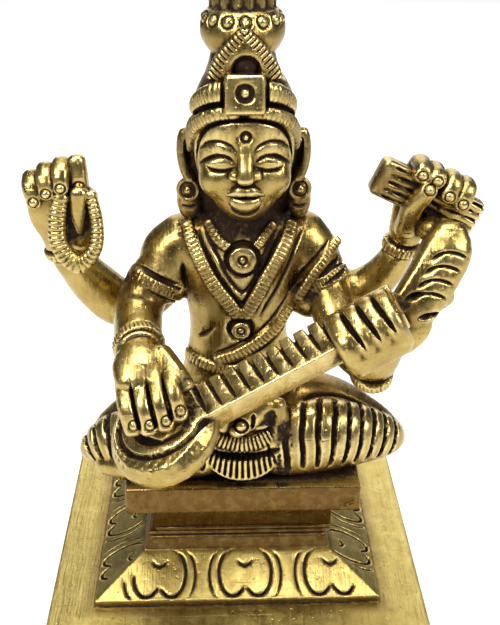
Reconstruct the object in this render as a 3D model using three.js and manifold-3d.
// A small cast brass idol of a seated goddess with four arms, a vina, a palm-leaf book and a rosary.
// Two castings: the square lotus plinth, and the figure on its seat. Millimetres, +Z up, front to -Y.
import * as THREE from "three";
import { mergeVertices } from "three/addons/utils/BufferGeometryUtils.js";
import Module from "manifold-3d";

const wasm = await Module();
wasm.setup();

// Base slab
const slabWidth = 57.6;
const slabDepth = 51.7;
const slabHeight = 4.6;
const slabRise = 0.8;

// Lotus tier
const bandHeight = 0.9;
const bandSetBack = 0.35;
const tierWidth = 44.0;
const tierDepth = 38.1;
const tierHeight = 4.05;
const tierTopWidth = 28.8;
const tierTopDepth = 23.0;
const coveHeight = 2.85;
const petalsPerSide = 3;
const petalShift = 0.6;
const petalGrooveWidth = 0.75;
const petalGrooveDepth = 0.55;

// Neck block and seat slab, cast with the figure
const neckWidth = 27.3;
const neckDepth = 21.4;
const neckHeight = 6.4;
const seatWidth = 35.0;
const seatDepth = 29.1;
const seatHeight = 4.4;
const castingShift = 1.0;

// The figure's own height above the seat; its pose and carving lie on a grid of equal parts of it
const figureHeight = 79.0;
const gridParts = 79;
const part = figureHeight / gridParts;

// How far a facet may stand off the surface, widest first, and how near two corners count as one
const facetAllowances = [0.08, 0.07, 0.06, 0.05, 0.04, 0.03, 0.02, 0.01];
const cornerStep = 1e-4;

// Carved details, in parts
const grooveWidth = 0.6;
const grooveDepth = 0.6;
const fingerRadius = 1.25;
const gripRadius = 1.45;
const foldDepth = 0.7;
const scrollFoldDepth = 0.35;
const fluteDepth = 0.09;

// Vina, in parts
const bowlRadius = 8.2;
const bowlWall = 3.3;
const bowlDepth = 6.4;
const fretboardWidth = 5.8;
const fretboardDepth = 3.9;
const fretboardLength = 37.0;
const fretCount = 9;
const fretPitch = 2.2;
const firstFret = 9.2;
const slitWidth = 0.8;
const slitDepth = 0.7;

// Book, in parts
const bookLength = 16.6;
const bookHeight = 5.6;
const bookThickness = 3.2;
const leafGrooves = 4;

// Crown, in parts
const crownLean = -0.12;
const finialFlutes = 7;
const archRibs = 6;

const brass = { color: 0xb59a52, metalness: 1, roughness: 0.34 };
const plinthBrass = { color: 0xa8904c, metalness: 1, roughness: 0.42 };

const across = new THREE.Vector3(1, 0, 0);
const back = new THREE.Vector3(0, 1, 0);
const upward = new THREE.Vector3(0, 0, 1);

// A place on the figure's grid
function at(x, y, z) {
  return new THREE.Vector3(x, y, z).multiplyScalar(part);
}

// A closed geometry as a solid that can be joined and cut
function solid(geometry) {
  const shell = new THREE.BufferGeometry();
  shell.setAttribute("position", geometry.getAttribute("position").clone());
  shell.setIndex(geometry.index ? geometry.index.clone() : null);
  const merged = mergeVertices(shell, 1e-5);
  const corners = merged.index.array;
  const kept = [];
  for (let i = 0; i < corners.length; i += 3) {
    const [a, b, c] = [corners[i], corners[i + 1], corners[i + 2]];
    if (a !== b && b !== c && c !== a) kept.push(a, b, c);
  }
  const vertProperties = new Float32Array(merged.getAttribute("position").array);
  return new wasm.Manifold(new wasm.Mesh({ numProp: 3, vertProperties, triVerts: new Uint32Array(kept) }));
}

// Several solids joined into one
function merge(solids) {
  return solids.reduce((whole, piece) => whole.add(piece));
}

// Several geometries joined into one solid
function join(geometries) {
  return merge(geometries.map(solid));
}

// A solid with all the cutters taken away
function cut(body, cutters) {
  return body.subtract(join(cutters));
}

// A solid without the sealed hollows that its crossing parts leave inside it
function filled(body) {
  return merge(body.decompose().filter((shell) => shell.volume() > 0));
}

// True where the surface touches itself along an edge, so that more than two facets meet there
function pinched(body) {
  const { vertProperties, triVerts } = body.getMesh();
  const names = Array.from(triVerts, (corner) => (
    [0, 1, 2].map((axis) => Math.round(vertProperties[3 * corner + axis] / cornerStep)).join()
  ));
  const uses = new Map();
  for (let i = 0; i < names.length; i += 3) {
    const [a, b, c] = names.slice(i, i + 3);
    if (a === b || b === c || c === a) continue;
    for (const edge of [[a, b], [b, c], [c, a]]) {
      const name = edge.sort().join(" ");
      uses.set(name, (uses.get(name) ?? 0) + 1);
    }
  }
  return [...uses.values()].some((count) => count > 2);
}

// The solid with its finest facets joined into their neighbours, as many as leave it sound
function lightened(body) {
  const whole = filled(body).asOriginal();
  for (const allowance of facetAllowances) {
    const light = filled(whole.simplify(allowance));
    if (!pinched(light)) return light;
  }
  return whole;
}

// The solid's surface as a flat-shaded geometry
function surface(body) {
  const mesh = lightened(body).getMesh();
  const geometry = new THREE.BufferGeometry();
  geometry.setAttribute("position", new THREE.BufferAttribute(new Float32Array(mesh.vertProperties), 3));
  geometry.setIndex(new THREE.BufferAttribute(new Uint32Array(mesh.triVerts), 1));
  const flat = geometry.toNonIndexed();
  flat.computeVertexNormals();
  return flat;
}

// A capped body of rings: place(row, across, deep) moves each corner of a plain cylinder
function ringBody(sides, rows, place, turn = 0) {
  const geometry = new THREE.CylinderGeometry(1, 1, 1, sides, rows - 1, false, turn);
  const corners = geometry.getAttribute("position");
  for (let i = 0; i < corners.count; i++) {
    const row = Math.round((0.5 - corners.getY(i)) * (rows - 1));
    const spot = place(row, corners.getX(i), corners.getZ(i));
    corners.setXYZ(i, spot.x, spot.y, spot.z);
  }
  return geometry;
}

// A square body through levels of [height, width, depth], lowest first
function squareStack(levels) {
  const place = (row, x, y) => {
    const [height, width, depth] = levels[row];
    return new THREE.Vector3((Math.sign(x) * width) / 2, (Math.sign(y) * depth) / 2, height);
  };
  return ringBody(4, levels.length, place, Math.PI / 4);
}

// A tube through stations of { spot, wide, deep }; top is the side that the deep half points to
function tube(stations, sides, top) {
  const last = stations.length - 1;
  const frames = stations.map((station, i) => {
    const before = stations[Math.max(i - 1, 0)].spot;
    const after = stations[Math.min(i + 1, last)].spot;
    const along = after.clone().sub(before).normalize();
    const side = new THREE.Vector3().crossVectors(top(i), along).normalize();
    return { side, up: new THREE.Vector3().crossVectors(along, side) };
  });
  const place = (row, x, z) => {
    const { spot, wide, deep } = stations[row];
    const { side, up } = frames[row];
    return spot.clone().addScaledVector(side, x * wide).addScaledVector(up, z * deep);
  };
  return ringBody(sides, stations.length, place);
}

// Stations from rows of [x, y, z, half width, half depth] on the grid, with a dome at either end
function domedStations(rows) {
  const stations = rows.map(([x, y, z, wide, deep = wide]) => (
    { spot: at(x, y, z), wide: wide * part, deep: deep * part }
  ));
  const dome = (end, next) => {
    const outward = end.spot.clone().sub(next.spot).normalize();
    const reach = Math.min(end.wide, end.deep);
    const ring = (distance, share) => (
      { spot: end.spot.clone().addScaledVector(outward, distance * reach), wide: end.wide * share,
        deep: end.deep * share }
    );
    return [ring(0.75, 0.6)];
  };
  const head = dome(stations[0], stations[1]).reverse();
  const tail = dome(stations.at(-1), stations.at(-2));
  return [...head, ...stations, ...tail];
}

// A limb with domed ends
function limb(rows, sides = 8, top = back) {
  return tube(domedStations(rows), sides, () => top);
}

// A limb's rows with a raised band round the row at place: a bangle, or the rib at a sleeve's end
function banded(rows, place, rise, halfWidth) {
  const middle = rows[place];
  const beside = (other, distance, lift) => {
    const length = Math.hypot(...[0, 1, 2].map((axis) => other[axis] - middle[axis]));
    return middle.map((value, k) => (k < 3 ? value + ((other[k] - value) * distance) / length : value + lift));
  };
  const [before, after] = [rows[place - 1], rows[place + 1]];
  return [
    ...rows.slice(0, place), beside(before, halfWidth + 0.3, 0), beside(before, halfWidth, rise),
    beside(after, halfWidth, rise), beside(after, halfWidth + 0.3, 0), ...rows.slice(place + 1),
  ];
}

// A limb in gathered cloth: crests and valleys take turns between its first and last rows
function gathered(rows, folds, depth, sides, top) {
  const steps = 2 * folds;
  const [start, end] = [rows[0][0], rows.at(-1)[0]];
  const stations = Array.from({ length: steps + 1 }, (unused, i) => {
    const x = start + ((end - start) * i) / steps;
    const next = Math.max(rows.findIndex((row) => (row[0] - x) * Math.sign(end - start) >= 0), 1);
    const [low, high] = [rows[next - 1], rows[next]];
    const mix = (x - low[0]) / (high[0] - low[0]);
    const [px, py, pz, wide, deep = wide] = low.map((value, k) => value + mix * (high[k] - value));
    const valley = i % 2 === 1 ? depth : 0;
    return [px, py, pz, wide - valley, deep - valley];
  });
  return limb(stations, sides, top);
}

// A V-shaped groove cut along a row of points; outward(point) is the way out of the surface
function groove(points, outward, width = grooveWidth, depth = grooveDepth) {
  const last = points.length - 1;
  const stations = points.map((spot, i) => {
    const fade = i === 0 || i === last ? 0.45 : 1;
    return { spot, wide: 0.866 * width * part * fade, deep: depth * part * fade };
  });
  return tube(stations, 3, (i) => outward(points[i]).clone().negate());
}

// Evenly spaced points of a smooth curve through a few places
function smooth(spots, count) {
  return new THREE.CatmullRomCurve3(spots).getPoints(count - 1);
}

// A ball with half sizes along X, Y and Z
function ball(centre, wide, deep = wide, tall = wide, sides = 8) {
  const geometry = new THREE.SphereGeometry(1, sides, Math.ceil(sides / 2) + 1);
  geometry.scale(wide * part, deep * part, tall * part);
  return geometry.translate(centre.x, centre.y, centre.z);
}

// A geometry made along +Z, turned to point along axis and set at centre
function aimed(geometry, axis, centre) {
  const turn = new THREE.Quaternion().setFromUnitVectors(upward, axis.clone().normalize());
  geometry.applyQuaternion(turn);
  return geometry.translate(centre.x, centre.y, centre.z);
}

// A round disc with a bevelled rim, facing along axis
function disc(centre, axis, radius, thick) {
  const profile = [[0, -thick], [radius, -thick], [radius, thick * 0.3], [radius * 0.82, thick], [0, thick]];
  const geometry = new THREE.LatheGeometry(profile.map(([r, h]) => new THREE.Vector2(r * part, h * part)), 8);
  geometry.rotateX(Math.PI / 2);
  return aimed(geometry, axis, centre);
}

// A ring-shaped groove in a face
function ringGroove(centre, axis, radius, width, depth, sides = 10) {
  const profile = [[radius - width, width], [radius, -depth], [radius + width, width], [radius - width, width]];
  const points = profile.map(([r, h]) => new THREE.Vector2(r * part, h * part));
  const geometry = new THREE.LatheGeometry(points, sides);
  geometry.rotateX(Math.PI / 2);
  return aimed(geometry, axis, centre);
}

// A trunk through level rings of [height, centre x, centre y, half width, half depth], slightly square
function trunk(levels, squareness, sides) {
  const swell = (value) => Math.sign(value) * Math.abs(value) ** (2 / squareness);
  const body = ringBody(sides, levels.length, (row, x, y) => {
    const [z, cx, cy, wide, deep] = levels[row];
    const length = Math.hypot(x, y);
    const share = length > 0.5 ? 1 : 0;
    return at(cx + share * wide * swell(x), cy + share * deep * swell(y), z);
  });
  const front = (x, z) => {
    const above = Math.max(levels.findIndex((level) => level[0] > z), 1);
    const [low, high] = [levels[above - 1], levels[above]];
    const mix = (z - low[0]) / (high[0] - low[0]);
    const [cx, cy, wide, deep] = [1, 2, 3, 4].map((i) => low[i] + mix * (high[i] - low[i]));
    const reach = Math.min(Math.abs(x - cx) / wide, 1);
    return cy - deep * (1 - reach ** squareness) ** (1 / squareness);
  };
  return { body, front };
}

// The way out of a trunk, away from its upright axis
function awayFrom(cx, cy) {
  return (spot) => new THREE.Vector3(spot.x - cx * part, spot.y - cy * part, 0).normalize();
}

const torso = trunk([
  [-0.6, 0.0, 0.0, 13.5, 9.5],
  [7.0, 0.0, 0.5, 10.5, 7.0],
  [12.5, -0.2, 0.4, 8.8, 5.8],
  [18.5, -0.4, 0.2, 7.4, 5.2],
  [23.0, -0.2, 0.2, 7.7, 5.6],
  [28.0, 0.1, 0.4, 9.0, 6.2],
  [32.5, 0.4, 0.8, 10.8, 6.2],
  [35.8, 0.5, 1.0, 10.4, 5.2],
  [37.8, 0.5, 0.6, 6.6, 4.4],
  [39.3, 0.5, -0.4, 4.4, 4.2],
  [43.0, 0.5, -1.8, 4.2, 4.2],
], 2.3, 11);

const skull = trunk([
  [39.6, 0.5, -5.6, 1.8, 1.8],
  [40.4, 0.5, -5.1, 3.3, 3.6],
  [42.0, 0.5, -4.5, 5.0, 4.7],
  [44.3, 0.5, -3.8, 6.4, 5.6],
  [47.5, 0.5, -3.2, 7.1, 6.1],
  [51.0, 0.5, -3.0, 7.1, 6.2],
  [55.0, 0.5, -2.6, 6.9, 6.1],
  [58.0, 0.5, -2.0, 5.5, 5.0],
], 2.35, 12);

const chestOut = awayFrom(0.3, 3.0);
const faceOut = awayFrom(0.5, 1.5);

// A place on the front of the chest or the face, raised by lift
function onChest(x, z, lift = 0) {
  return at(x, torso.front(x, z) - lift, z);
}

function onFace(x, z, lift = 0) {
  return at(x, skull.front(x, z) - lift, z);
}

// A flat band laid on the chest through places of [x, z]
function chestBand(places, halfWidth, thickness, count) {
  const points = smooth(places.map(([x, z]) => onChest(x, z)), count);
  const stations = points.map((spot) => ({ spot, wide: halfWidth * part, deep: thickness * part }));
  return tube(stations, 4, (i) => chestOut(points[i]));
}

// Shoulders, sleeves, the cloth under each arm and the rib at each sleeve's end
function shoulders() {
  return [
    limb(banded([[-8.6, 0.8, 33.6, 3.7], [-10.4, 0.6, 31.6, 4.1], [-11.2, -0.2, 29.6, 4.0], [-13.2, -1.0, 27.2, 3.9],
      [-13.8, -1.6, 26.0, 3.8]], 3, 0.5, 0.5), 8),
    limb(banded([[9.0, 0.8, 33.7, 3.9], [10.0, 0.4, 31.8, 4.2], [11.0, -0.3, 29.6, 4.1], [12.5, -1.5, 27.2, 3.8],
      [13.1, -2.2, 26.0, 3.6]], 3, 0.5, 0.5), 8),
    limb([[-8.6, 0.2, 27.9, 2.6], [-10.4, -0.8, 27.4, 3.2]], 6),
    limb([[7.6, 0.0, 25.6, 2.8], [10.2, -1.6, 25.4, 3.4]], 6),
  ];
}

// The arm that reaches down to the bowl, with its bangle
function bowlArm() {
  return [
    limb(banded([[-13.4, -1.0, 27.6, 3.6], [-14.9, -3.0, 24.6, 3.6], [-15.0, -6.5, 22.8, 3.6],
      [-14.6, -11.0, 21.9, 3.3], [-14.3, -13.6, 21.6, 3.1]], 3, 0.55, 0.6), 8),
  ];
}

// A finger through its rows
function finger(rows) {
  return limb(rows, 5);
}

// The hand laid on the bowl: its back, four fingers side by side and the thumb
function bowlHand() {
  const knuckles = [[-16.4, -17.0, 19.8], [-14.3, -17.6, 20.5], [-12.2, -17.6, 21.1], [-10.2, -17.0, 21.6]];
  const tips = [[-14.8, -20.9, 15.3], [-12.8, -21.2, 15.8], [-10.8, -21.0, 16.3], [-8.9, -20.2, 17.2]];
  const fingers = knuckles.map(([kx, ky, kz], i) => {
    const [tx, ty, tz] = tips[i];
    const bend = [(kx + tx) / 2, (ky + ty) / 2 - 0.9, (kz + tz) / 2 + 0.4, fingerRadius];
    return finger([[kx, ky + 1.2, kz + 0.4, fingerRadius], bend, [tx, ty, tz, fingerRadius * 0.9]]);
  });
  return [
    limb([[-14.2, -13.2, 22.0, 3.2, 2.6], [-13.8, -15.3, 21.6, 4.2, 2.4], [-13.3, -17.2, 20.4, 4.2, 1.9]], 8, upward),
    ...fingers,
    finger([[-11.0, -14.6, 22.6, 1.4], [-9.2, -17.0, 21.4, 1.35], [-7.8, -18.7, 19.8, 1.3]]),
  ];
}

// The vina's own axes: along the fretboard, across it, and out of its face
const vinaAlong = new THREE.Vector3(19.0, 1.6, 10.3).normalize();
const vinaAcross = new THREE.Vector3().crossVectors(new THREE.Vector3(-0.4, -0.445, 0.8), vinaAlong).normalize();
const vinaOut = new THREE.Vector3().crossVectors(vinaAlong, vinaAcross);
const bowlCentre = at(-12.0, -18.2, 13.7);
const vinaFrame = new THREE.Matrix4().makeBasis(vinaAlong, vinaAcross, vinaOut).setPosition(bowlCentre);

// A place on the vina: along from the bowl's middle, across, and out of the face
function onVina(along, sideways, out) {
  return new THREE.Vector3(along, sideways, out).multiplyScalar(part).applyMatrix4(vinaFrame);
}

// The round bowl, and the fretboard with a slit before every fret
function vinaBody() {
  const profile = [[0, -bowlDepth], [bowlRadius * 0.6, -bowlDepth], [bowlRadius, -bowlWall], [bowlRadius, -0.4],
    [bowlRadius - 0.4, 0], [0, 0]];
  const bowl = new THREE.LatheGeometry(profile.map(([r, h]) => new THREE.Vector2(r * part, h * part)), 16);
  bowl.rotateX(Math.PI / 2);
  bowl.applyMatrix4(vinaFrame);
  const side = new THREE.Shape();
  side.moveTo(0, -fretboardDepth * part);
  side.lineTo(0, 0);
  for (let i = 0; i < fretCount; i++) {
    const along = firstFret + i * fretPitch;
    side.lineTo((along - slitWidth / 2) * part, 0);
    side.lineTo(along * part, -slitDepth * part);
    side.lineTo((along + slitWidth / 2) * part, 0);
  }
  side.lineTo(fretboardLength * part, 0);
  side.lineTo(fretboardLength * part, -fretboardDepth * part);
  const board = new THREE.ExtrudeGeometry(side, { depth: fretboardWidth * part, bevelEnabled: false });
  board.rotateX(Math.PI / 2);
  board.translate(0, (fretboardWidth / 2) * part, 0.15 * part);
  board.applyMatrix4(vinaFrame);
  return [bowl, board];
}

// The groove inside the bowl's rim
function vinaCuts() {
  return [ringGroove(onVina(0, 0, 0), vinaOut, bowlRadius - 1.5, 0.45, 0.5, 12)];
}

// The arm that comes up from under the fretboard, its bangle, and the hand wrapped over the frets
const gripPlaces = [28.6, 30.9, 33.2, 35.4];

function neckArm() {
  return [
    limb([[12.4, -1.4, 27.4, 3.5], [13.4, -4.4, 24.4, 3.3], [14.8, -7.8, 21.4, 3.2], [17.0, -10.6, 19.8, 3.2],
      [18.6, -12.4, 20.0, 3.2]], 8),
  ];
}

function neckHand() {
  const fingers = gripPlaces.map((along) => {
    const rows = [[-4.4, -1.4], [-3.2, 0.9], [0.8, 1.3], [3.8, -0.6]];
    const stations = rows.map(([sideways, out]) => {
      const { x, y, z } = onVina(along, sideways, out).divideScalar(part);
      return [x, y, z, gripRadius];
    });
    return limb(stations, 5, across);
  });
  const palm = banded([[18.3, -12.0, 17.6, 3.0, 2.6], [18.3, -12.7, 19.2, 3.4, 2.8], [18.0, -14.0, 22.6, 4.3, 2.8],
    [17.4, -13.6, 26.0, 4.3, 2.8]], 1, 0.5, 0.6);
  const thumb = [[12.4, -13.6, 26.6, 1.1], [13.4, -12.8, 28.6, 1.2], [15.6, -12.2, 30.2, 1.2]];
  return [...fingers, limb(palm, 7), finger(thumb)];
}

// The scrolled beast's head at the end of the vina
function scroll() {
  return [
    limb([[21.4, -12.6, 25.6, 2.4], [23.6, -11.6, 24.2, 2.5], [24.6, -11.2, 23.2, 2.4]], 7),
    gathered([[24.6, -10.4, 27.2, 2.6], [25.4, -9.8, 28.6, 2.8], [27.4, -8.6, 31.6, 3.0], [28.9, -7.4, 34.4, 3.0]],
      4, scrollFoldDepth, 8, back),
    limb([[28.7, -7.4, 34.2, 2.9], [29.0, -6.4, 36.2, 2.8]], 8),
    limb([[25.6, -10.2, 27.6, 2.4], [28.6, -9.0, 28.3, 1.5]], 6),
    limb([[24.6, -9.6, 31.0, 1.0], [27.4, -6.6, 36.4, 1.1]], 5),
  ];
}

// The raised rear arm with the rosary: arm, bangle, palm, curled fingers, pointing finger and thumb
function rosaryArm() {
  return [
    limb(banded([[-9.6, 2.8, 28.0, 3.4], [-14.6, 3.6, 23.0, 3.7], [-18.6, 4.0, 21.9, 3.7], [-21.8, 3.4, 25.0, 3.5],
      [-23.9, 2.2, 28.4, 3.0], [-25.7, 0.9, 32.2, 2.6], [-26.2, 0.6, 34.4, 2.6]], 5, 0.6, 0.6), 8),
  ];
}

function rosaryHand() {
  const curled = [[-29.4, -0.4, 43.2, 40.6], [-27.2, -0.6, 44.4, 41.9], [-24.9, -0.7, 45.2, 42.7]];
  const fingers = curled.map(([x, y, top, tip], i) => finger([
    [x + 0.5, y + 1.4, top - 3.4, 1.35],
    [x, y + 0.6, top, 1.4],
    [x, y - 1.4, top - 0.4, 1.4],
    [x + 0.4 - i * 0.2, y - 2.4, tip + 0.1, 1.15],
  ]));
  return [
    limb([[-25.8, 0.6, 34.2, 2.7, 2.2], [-26.3, 0.4, 37.4, 4.0, 2.1], [-26.2, 0.4, 40.4, 4.3, 1.9]], 8),
    ...fingers,
    finger([[-23.0, 0.2, 39.6, 1.5], [-22.6, -1.2, 43.2, 1.45], [-22.7, -1.0, 45.9, 1.3]]),
    finger([[-24.0, -0.4, 36.6, 1.5], [-23.2, -2.0, 39.2, 1.3], [-22.6, -2.6, 41.6, 1.0]]),
  ];
}

// The rosary's hanging loop
function rosary() {
  const places = [[-25.1, -2.8, 41.2], [-25.8, -3.4, 38.0], [-25.6, -4.0, 34.6], [-23.1, -4.5, 31.9],
    [-20.7, -4.2, 34.2], [-20.2, -3.4, 37.6], [-20.9, -2.4, 41.4]];
  const points = smooth(places.map(([x, y, z]) => at(x, y, z)), 13);
  const stations = points.map((spot) => ({ spot, wide: 1.15 * part, deep: 0.9 * part }));
  const web = limb([[-24.0, -0.4, 34.4, 1.9, 1.6], [-23.2, -0.6, 41.0, 2.2, 1.5]], 6);
  return [tube(stations, 5, () => back), web];
}

// The raised rear arm with the book: arm, bangle, palm, thumb and fingers folded over the book
function bookArm() {
  return [
    limb(banded([[9.4, 2.8, 28.4, 3.2], [13.4, 3.4, 24.9, 3.2], [17.2, 3.3, 23.8, 3.1], [20.2, 3.0, 25.2, 3.0],
      [22.4, 1.9, 28.4, 2.6], [23.7, 0.8, 32.0, 2.25], [24.2, 0.5, 34.4, 2.2]], 5, 0.6, 0.6), 8),
  ];
}

const bookCentre = at(26.7, -0.2, 40.1);
const bookTilt = THREE.MathUtils.degToRad(-26);
const bookFrame = new THREE.Matrix4().makeRotationY(-bookTilt).setPosition(bookCentre);

// A place on the book: along it, out of its back, and up its height
function onBook(along, behind, height) {
  return new THREE.Vector3(along, behind, height).multiplyScalar(part).applyMatrix4(bookFrame);
}

// The book: a stack of narrow leaves, with grooves between them on its front
function book() {
  const block = new THREE.BoxGeometry(bookLength * part, bookThickness * part, bookHeight * part);
  const cuts = [];
  for (let i = 0; i < leafGrooves; i++) {
    const height = ((i + 0.5) / leafGrooves - 0.5) * bookHeight * 0.9;
    const points = [-0.55, 0.55].map((share) => onBook(share * bookLength, -bookThickness / 2, height));
    cuts.push(groove(points, () => back.clone().negate(), 0.5, 0.45));
  }
  return cut(join([block.applyMatrix4(bookFrame)]), cuts);
}

function bookHand() {
  const rows = [[-3.1, 3.2], [-0.8, 3.4], [1.9, 2.2], [4.2, 2.0]];
  const fingers = rows.map(([along, tip]) => {
    const spots = [[1.4, -0.6], [1.3, 3.6], [-1.5, 3.9], [-2.6, tip]];
    const stations = spots.map(([behind, height]) => {
      const { x, y, z } = onBook(along, behind, height).divideScalar(part);
      return [x, y, z, fingerRadius];
    });
    return finger(stations);
  });
  return [
    limb([[24.0, 0.3, 34.6, 2.4, 2.1], [24.9, 0.7, 37.6, 3.1, 2.0], [26.6, 1.4, 40.0, 3.6, 1.8]], 8),
    ...fingers,
    finger([[23.8, -1.4, 36.0, 1.5], [24.2, -2.4, 38.8, 1.5], [26.2, -3.2, 42.2, 1.35]]),
  ];
}

// Crossed legs in gathered cloth, and the seat of the body
function legs() {
  return [
    limb([[3.0, 0.5, 5.0, 5.6, 5.6], [12.0, -0.6, 5.6, 5.2, 5.2], [19.0, -3.4, 4.4, 4.0, 3.6],
      [22.6, -5.2, 3.0, 2.8, 2.6]], 8, upward),
    limb([[-3.0, 0.5, 5.0, 5.6, 5.6], [-12.0, -0.8, 5.6, 5.2, 5.2], [-18.2, -4.0, 4.4, 4.2, 3.8],
      [-21.2, -6.0, 2.8, 2.8, 2.6]], 8, upward),
    gathered([[2.2, -10.6, 4.6, 2.8, 3.6], [6.0, -10.4, 5.2, 3.7, 5.4], [11.5, -9.2, 5.4, 4.4, 6.0],
      [17.0, -7.6, 4.6, 4.1, 4.9], [21.4, -6.4, 3.5, 3.1, 3.4], [23.2, -6.0, 2.9, 1.9, 2.2]], 9, foldDepth, 8, upward),
    limb([[-2.4, -10.6, 4.4, 2.6, 3.2], [-7.0, -10.6, 4.8, 3.6, 5.0], [-13.0, -9.6, 4.8, 3.6, 4.8]], 8, upward),
    gathered([[-12.6, -9.8, 4.8, 3.8, 5.0], [-18.0, -8.2, 4.6, 3.9, 4.6], [-21.4, -7.2, 3.2, 2.9, 3.1],
      [-23.0, -7.0, 2.2, 1.7, 2.0]], 5, foldDepth, 7, upward),
    limb([[-17.6, -10.8, 2.0, 2.4, 2.3], [-20.4, -9.8, 1.6, 1.8, 1.8]], 6, upward),
  ];
}

// The foot, and the fan of pleats that hangs in front of the crossed legs
const fanCentre = { x: -0.1, z: 6.6 };
const fanRadius = 6.0;

function footAndPleats() {
  const fan = new THREE.Shape();
  const reach = THREE.MathUtils.degToRad(72);
  fan.absarc(fanCentre.x * part, fanCentre.z * part, fanRadius * part, -Math.PI / 2 - reach, -Math.PI / 2 + reach);
  fan.closePath();
  const cloth = new THREE.ExtrudeGeometry(fan, { depth: 4.4 * part, bevelEnabled: false, curveSegments: 9 });
  cloth.rotateX(Math.PI / 2);
  cloth.translate(0, -9.4 * part, 0);
  return [
    cloth,
    limb([[-4.6, -12.6, 8.4, 1.2], [-0.1, -13.0, 7.6, 1.2], [4.4, -12.4, 8.6, 1.2]], 6, upward),
    limb([[3.0, -11.6, 12.6, 2.0], [0.4, -12.6, 10.8, 1.9], [-0.9, -13.2, 9.4, 1.3]], 6),
    finger([[-1.4, -12.4, 12.0, 1.3], [-2.8, -12.9, 9.6, 1.1]]),
  ];
}

function pleatCuts() {
  const cuts = [];
  const outward = () => new THREE.Vector3(0, -1, 0);
  for (let i = -4; i <= 4; i++) {
    const x = fanCentre.x + i * 1.2;
    const low = fanCentre.z - Math.sqrt(fanRadius ** 2 - (x - fanCentre.x) ** 2);
    const lean = 0.06 * i;
    cuts.push(groove([at(x - lean * 3, -13.8, 5.4), at(x + lean, -13.8, low - 0.3)], outward, 0.5, 0.5));
  }
  return cuts;
}

// Two necklaces, two pendants, the sash and the belts
const longNecklace = [[-7.4, 36.4], [-7.2, 34.4], [-5.6, 30.8], [-3.0, 26.8], [0.3, 23.4], [3.0, 27.2],
  [4.4, 31.0], [5.9, 34.6], [6.8, 36.6]];
const shortNecklace = [[-4.6, 37.6], [-2.6, 35.4], [0.1, 33.6], [2.6, 35.4], [4.6, 37.6]];

function jewels() {
  return [
    chestBand(longNecklace, 0.95, 0.8, 9),
    chestBand(shortNecklace, 0.75, 0.8, 5),
    disc(onChest(0.1, 33.0, 0.5), at(0, -1, 0.12), 2.15, 0.7),
    disc(onChest(-0.2, 21.6, 0.3), at(0, -1, 0), 1.7, 0.6),
    chestBand([[11.4, 33.0], [8.6, 28.4], [5.4, 23.6], [1.6, 20.0], [-3.4, 18.6]], 0.9, 0.75, 6),
    chestBand([[-8.6, 17.8], [-5.6, 16.4], [-2.0, 15.6], [3.0, 15.8], [8.0, 17.6]], 0.9, 0.9, 5),
  ];
}

// Ears, earrings and the face
function headParts() {
  const ears = [-1, 1].flatMap((side) => {
    const x = (offset) => 0.5 + side * offset;
    return [
      limb([[x(7.4), 0.6, 47.2, 1.5, 1.6], [x(8.0), 0.4, 44.6, 1.4, 1.6], [x(7.7), -0.4, 42.0, 1.6, 1.6],
        [x(7.8), -0.6, 40.0, 1.4, 1.4]], 6),
      disc(at(x(7.9), -1.8, 41.8), at(side * 0.25, -1, 0.1), 1.75, 0.6),
    ];
  });
  const eyes = [-3.0, 3.9].map((x) => ball(onFace(x, 48.3, -0.55), 2.1, 0.95, 0.8, 6));
  return [
    skull.body,
    ball(at(0.5, -7.4, 41.6), 2.0, 1.7, 1.6, 7),
    ball(onFace(0.5, 51.9, -0.2), 0.8, 0.6, 0.8, 5),
    ...ears,
    ...eyes,
    limb([[0.5, -9.1, 50.2, 0.7, 0.4], [0.5, -9.8, 48.2, 0.8, 0.7], [0.5, -10.2, 46.8, 1.6, 0.9]], 6),
    limb([[-1.6, -9.1, 43.9, 0.5], [0.5, -9.6, 44.3, 0.6], [2.6, -9.1, 43.9, 0.5]], 5, upward),
    limb([[-1.2, -9.1, 43.0, 0.5], [0.5, -9.7, 42.7, 0.7], [2.2, -9.1, 43.0, 0.5]], 5, upward),
  ];
}

function faceCuts() {
  const cuts = [];
  for (const side of [-1, 1]) {
    const x = (offset) => 0.5 + side * offset;
    const brow = [[1.1, 49.9], [3.2, 51.1], [5.6, 49.6]];
    const lid = [[1.3, 48.2], [3.4, 49.4], [6.0, 47.7]];
    for (const line of [brow, lid]) {
      cuts.push(groove(line.map(([offset, z]) => onFace(x(offset), z)), faceOut, 0.55, 0.5));
    }
  }
  cuts.push(groove([onFace(-1.9, 43.5, 0.3), onFace(0.5, 43.45, 0.5), onFace(2.9, 43.5, 0.3)], faceOut, 0.35, 0.5));
  return cuts;
}

// The crown's rings, rolls, arch and finial stand on an axis that leans back with the head
function onCrown(x, forward, z) {
  const lean = (z - 57) * -crownLean;
  return at(0.4 + x, -1.4 + lean - forward, z);
}

function crownRings(levels, sides, flutes, depth) {
  return ringBody(sides, levels.length, (row, x, y) => {
    const [z, wide, deep, middle = 0] = levels[row];
    const swell = 1 - depth * (1 - Math.cos(flutes * Math.atan2(y, x)));
    return onCrown(x * wide * swell, -y * deep * swell - middle, z);
  });
}

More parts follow.
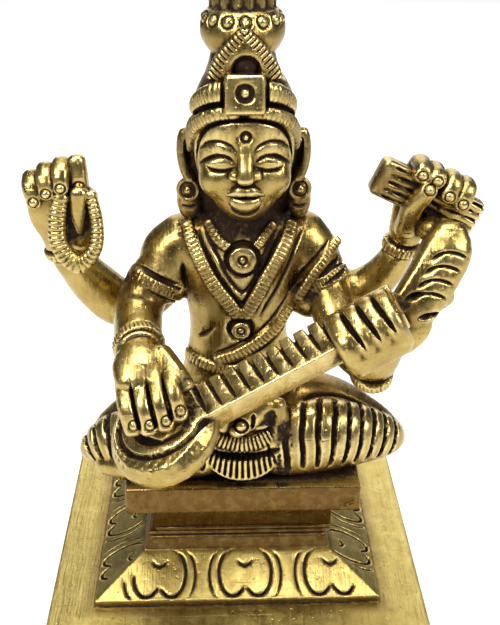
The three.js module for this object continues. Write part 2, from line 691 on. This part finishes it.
function crownBody() {
  const cap = [[49.0, 7.6, 6.6, 0.6], [51.5, 8.0, 7.6, 0.6], [54.0, 7.4, 7.9, 0.6], [56.5, 6.0, 7.6, 0.6],
    [59.6, 4.7, 6.2, 0.6], [61.4, 4.1, 5.2], [63.2, 5.6, 5.3], [64.6, 5.3, 5.0], [65.8, 4.2, 3.9]];
  const bulb = [[65.4, 4.4, 4.1], [68.6, 4.5, 4.2], [71.6, 2.6, 2.4]];
  const tip = [[71.2, 2.5, 2.4], [72.6, 3.0, 2.9], [73.8, 1.7, 1.6], [75.2, 2.0, 1.9], [77.2, 1.2, 1.1],
    [gridParts, 0.3, 0.3]];
  return [
    crownRings(cap, 12, 1, 0),
    crownRings(bulb, 2 * finialFlutes, finialFlutes, fluteDepth),
    crownRings(tip, 8, 1, 0),
  ];
}

function crownParts() {
  const roll = (rows) => limb(rows.map(([x, y, z, r]) => [x + 0.4, y, z, r]), 5, upward);
  const rolls = [-1, 1].flatMap((side) => [
    roll([[side * 2.2, -8.6, 58.2, 1.3], [side * 4.3, -7.2, 57.3, 1.4], [side * 5.7, -4.4, 56.2, 1.4],
      [side * 6.2, -1.0, 55.2, 1.3]]),
    roll([[side * 2.2, -9.0, 55.8, 1.2], [side * 4.8, -7.5, 54.6, 1.4], [side * 6.5, -4.6, 52.4, 1.4],
      [side * 6.8, -2.8, 49.6, 1.2]]),
  ]);
  const arch = smooth([[-3.4, -6.9, 59.8], [-2.6, -6.9, 61.8], [0.4, -6.6, 64.6], [3.4, -6.9, 61.8],
    [4.2, -6.9, 59.8]].map(([x, y, z]) => at(x, y, z)), 2 * archRibs + 1);
  const archStations = arch.map((spot, i) => {
    const share = i % 2 === 1 ? 1 : 0.85;
    return { spot, wide: 1.25 * share * part, deep: 1.0 * share * part };
  });
  const plaque = new THREE.BoxGeometry(4.9 * part, 2.4 * part, 4.9 * part);
  plaque.rotateX(THREE.MathUtils.degToRad(-9));
  const middle = at(0.4, -8.5, 57.5);
  plaque.translate(middle.x, middle.y, middle.z);
  const studs = [-3.4, -1.35, 1.35, 3.4].map((x) => {
    const forward = Math.sqrt(1 - (x / 5.9) ** 2) * 4.9;
    return ball(onCrown(x, forward, 64.4), 1.1, 0.95, 1.1, 4);
  });
  return [
    ...crownBody(),
    ...rolls,
    tube(archStations, 5, () => back.clone().negate()),
    plaque,
    disc(at(0.4, -9.6, 57.7), at(0, -1, 0.16), 1.3, 0.55),
    ball(at(0.4, -6.6, 61.0), 1.3, 1.2, 0.8, 6),
    ...studs,
  ];
}

// The neck block and the seat slab under the figure
function seat() {
  const reach = seatHeight + neckHeight;
  return squareStack([
    [-reach, neckWidth, neckDepth],
    [-seatHeight, neckWidth, neckDepth],
    [-seatHeight, seatWidth, seatDepth],
    [0, seatWidth, seatDepth],
  ]);
}

function figure() {
  const plain = [
    seat(), torso.body, ...jewels(), ...shoulders(), ...legs(), ...bowlArm(), ...bowlHand(), ...neckArm(),
    ...neckHand(), ...scroll(), ...rosaryArm(), ...rosaryHand(), ...rosary(), ...bookArm(), ...bookHand(),
    ...crownParts(),
  ];
  const carved = [
    cut(join(footAndPleats()), pleatCuts()),
    cut(join(vinaBody()), vinaCuts()),
    cut(join(headParts()), faceCuts()),
    book(),
  ];
  return surface(merge([join(plain), ...carved]));
}

// One lotus petal's grooves on a sloping side: a two-lobed outline, a second line outside it and a notch
function petal(middle, spread, slope, face) {
  const outline = [[-2.0, 0.98], [-3.9, 0.66], [-3.5, 0.28], [-1.5, 0.13], [0, 0.3], [1.5, 0.13], [3.5, 0.28],
    [3.9, 0.66], [2.0, 0.98]];
  const outer = [[3.8, 0.98], [5.4, 0.6], [3.8, 0.05]];
  const notch = [[-1.2, 0.8], [0, 0.66], [1.2, 0.8]];
  const spots = (places, side) => places.map(([u, v]) => face(middle + side * u * spread, v * slope));
  return [spots(outline, 1), spots(outer, 1), spots(outer, -1), spots(notch, 1)];
}

function petalCuts() {
  const foot = slabHeight + slabRise + bandHeight;
  const cuts = [];
  const [wide, deep] = [{ foot: tierWidth, top: tierTopWidth }, { foot: tierDepth, top: tierTopDepth }];
  for (const [quarter, side, other] of [[0, wide, deep], [1, deep, wide], [2, wide, deep], [3, deep, wide]]) {
    const run = (other.foot - other.top) / 2;
    const slope = Math.hypot(run, tierHeight);
    const outward = new THREE.Vector3(0, -tierHeight, run).normalize();
    const turn = (quarter * Math.PI) / 2;
    const face = (u, v) => new THREE.Vector3(u, (run * v) / slope - other.foot / 2, foot + (tierHeight * v) / slope)
      .applyAxisAngle(upward, turn);
    const out = outward.applyAxisAngle(upward, turn);
    const pitch = side.top / (petalsPerSide - 0.7);
    for (let i = 0; i < petalsPerSide; i++) {
      const middle = petalShift + (i - (petalsPerSide - 1) / 2) * pitch;
      const lines = petal(middle, pitch / 12.9, slope, face);
      for (const line of quarter === 2 ? lines.slice(0, 1) : lines) {
        cuts.push(groove(line, () => out, petalGrooveWidth / part, petalGrooveDepth / part));
      }
    }
  }
  return cuts;
}

function plinth() {
  const slabTop = slabHeight + slabRise;
  const petalFoot = slabTop + bandHeight;
  const petalTop = petalFoot + tierHeight;
  const body = squareStack([
    [0, slabWidth, slabDepth],
    [slabHeight, slabWidth, slabDepth],
    [slabTop, tierWidth, tierDepth],
    [slabTop, tierWidth - 2 * bandSetBack, tierDepth - 2 * bandSetBack],
    [petalFoot, tierWidth - 2 * bandSetBack, tierDepth - 2 * bandSetBack],
    [petalFoot, tierWidth, tierDepth],
    [petalTop, tierTopWidth, tierTopDepth],
    [petalTop + coveHeight, neckWidth, neckDepth],
  ]);
  return surface(cut(join([body]), petalCuts()));
}

// A named piece in its own material
function piece(name, geometry, look, height, shift) {
  const mesh = new THREE.Mesh(geometry, new THREE.MeshStandardMaterial(look));
  mesh.name = name;
  mesh.position.set(shift, 0, height);
  return mesh;
}

const plinthHeight = slabHeight + slabRise + bandHeight + tierHeight + coveHeight;
const idol = new THREE.Group();
idol.add(piece("plinth", plinth(), plinthBrass, 0, 0));
idol.add(piece("figure", figure(), brass, plinthHeight + neckHeight + seatHeight, castingShift));

export default idol;
